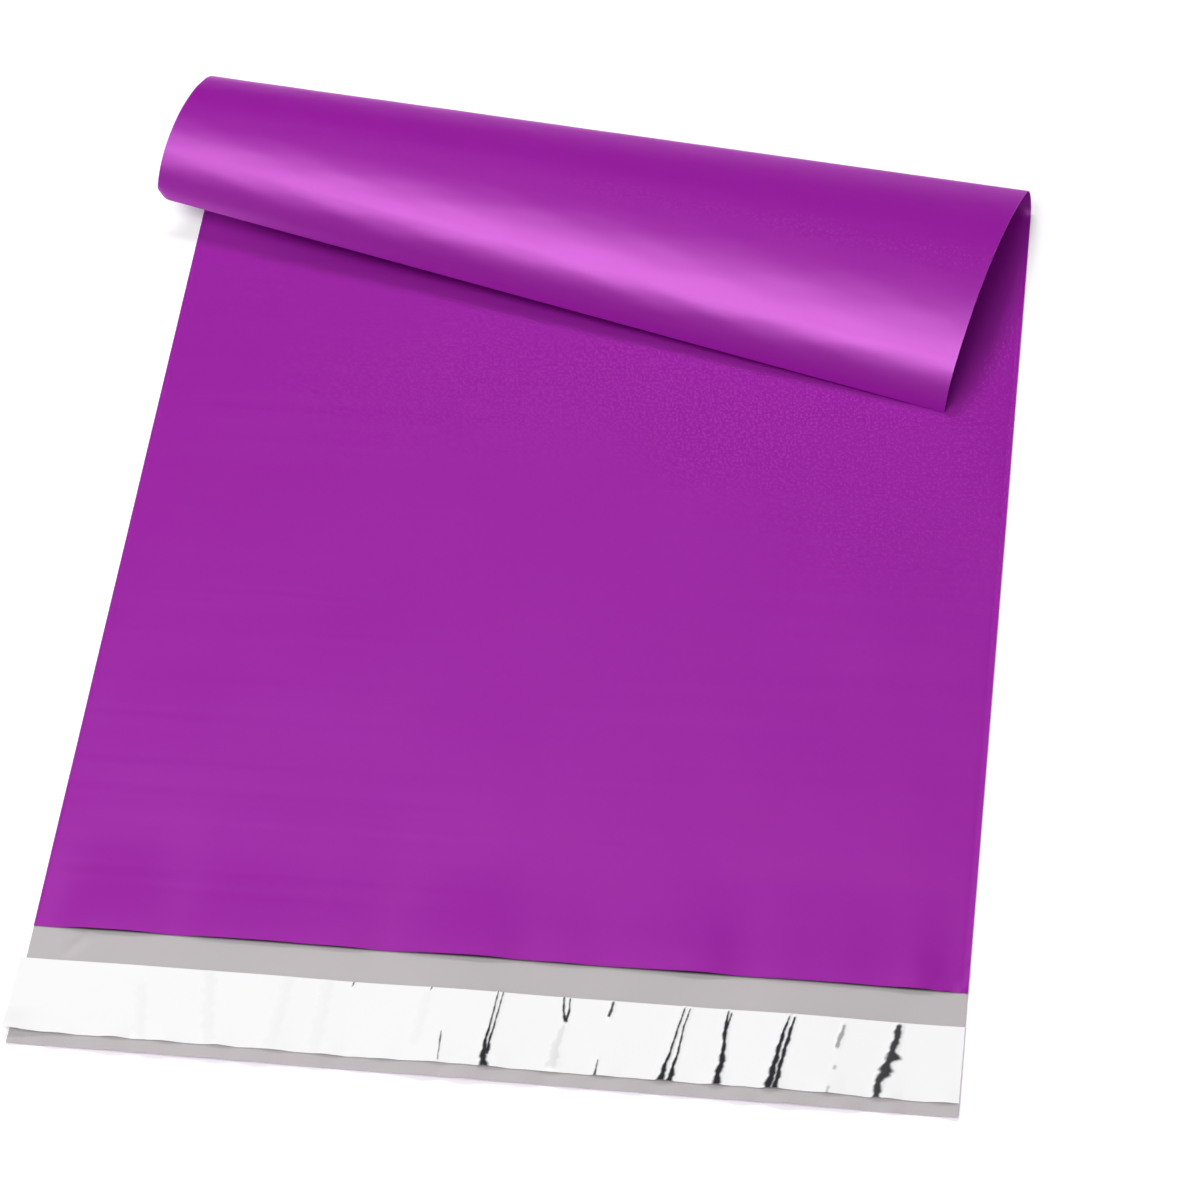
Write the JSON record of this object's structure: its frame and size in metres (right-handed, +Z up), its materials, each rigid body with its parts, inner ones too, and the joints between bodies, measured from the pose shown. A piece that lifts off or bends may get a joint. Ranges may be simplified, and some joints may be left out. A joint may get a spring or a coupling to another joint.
{
  "type": "poly mailer bag",
  "caption": "Empty purple polyethylene mailer bag lying flat, its closed end curled over the front, with a peel-off liner on the flap.",
  "frame": {"origin": "middle of the bag's back panel, halfway between mouth and flat length's closed end, on the surface the bag lies on", "axes": "+Z up out of the front panel, +Y from the flap to the curled closed end, +X to the right seen from above with the flap nearest"},
  "size_m": [0.3989, 0.4818, 0.0352],
  "materials": {
    "film": "satin purple polyethylene film, grey on the inside",
    "glue": "clear hot-melt pressure-sensitive glue",
    "liner": "white siliconised film, very glossy"
  },
  "bodies": {
    "root": {"mailer_film": "film", "adhesive_band": "glue", "release_liner": "liner"}
  },
  "joints": []
}
